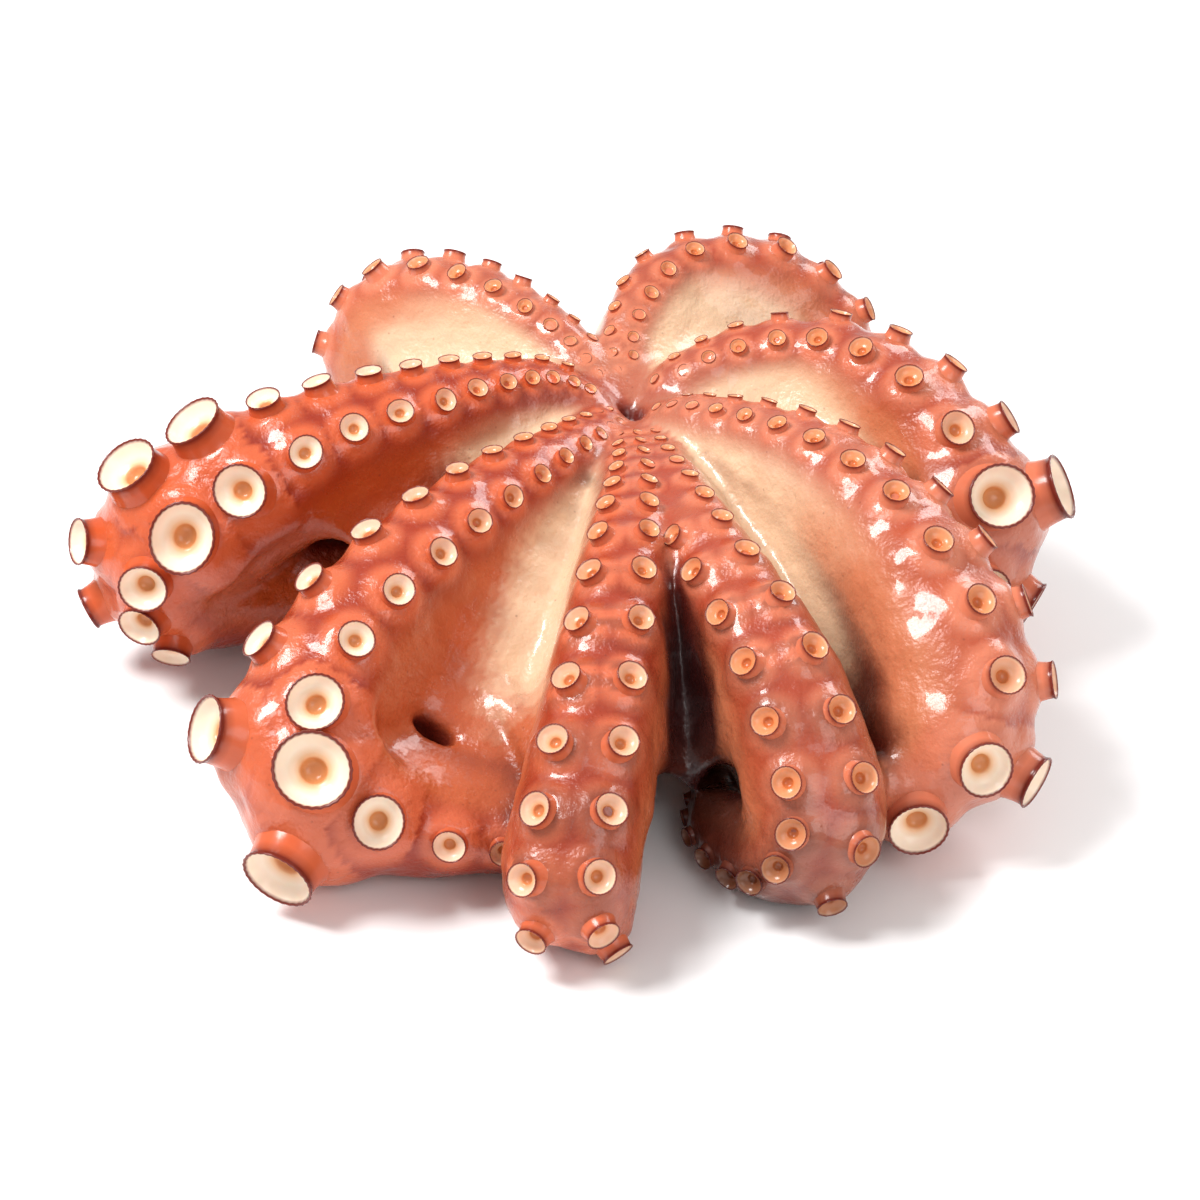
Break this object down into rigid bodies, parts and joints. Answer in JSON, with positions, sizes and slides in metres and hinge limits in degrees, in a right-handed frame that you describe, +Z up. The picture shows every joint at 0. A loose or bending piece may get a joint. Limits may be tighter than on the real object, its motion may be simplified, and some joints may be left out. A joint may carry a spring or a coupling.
{
  "type": "whole octopus",
  "caption": "Whole cooked octopus lying mouth side up, its thick suckered arms arching out and curling their tips in below.",
  "frame": {"origin": "on the surface it lies on, below the middle of its bounding box", "axes": "+X across its widest reach to the right, +Y from the front arms to the back arms, +Z up"},
  "size_m": [0.3076, 0.2972, 0.0897],
  "materials": {
    "octopus_skin": null
  },
  "bodies": {
    "root": {"octopus": "octopus_skin"}
  },
  "joints": []
}
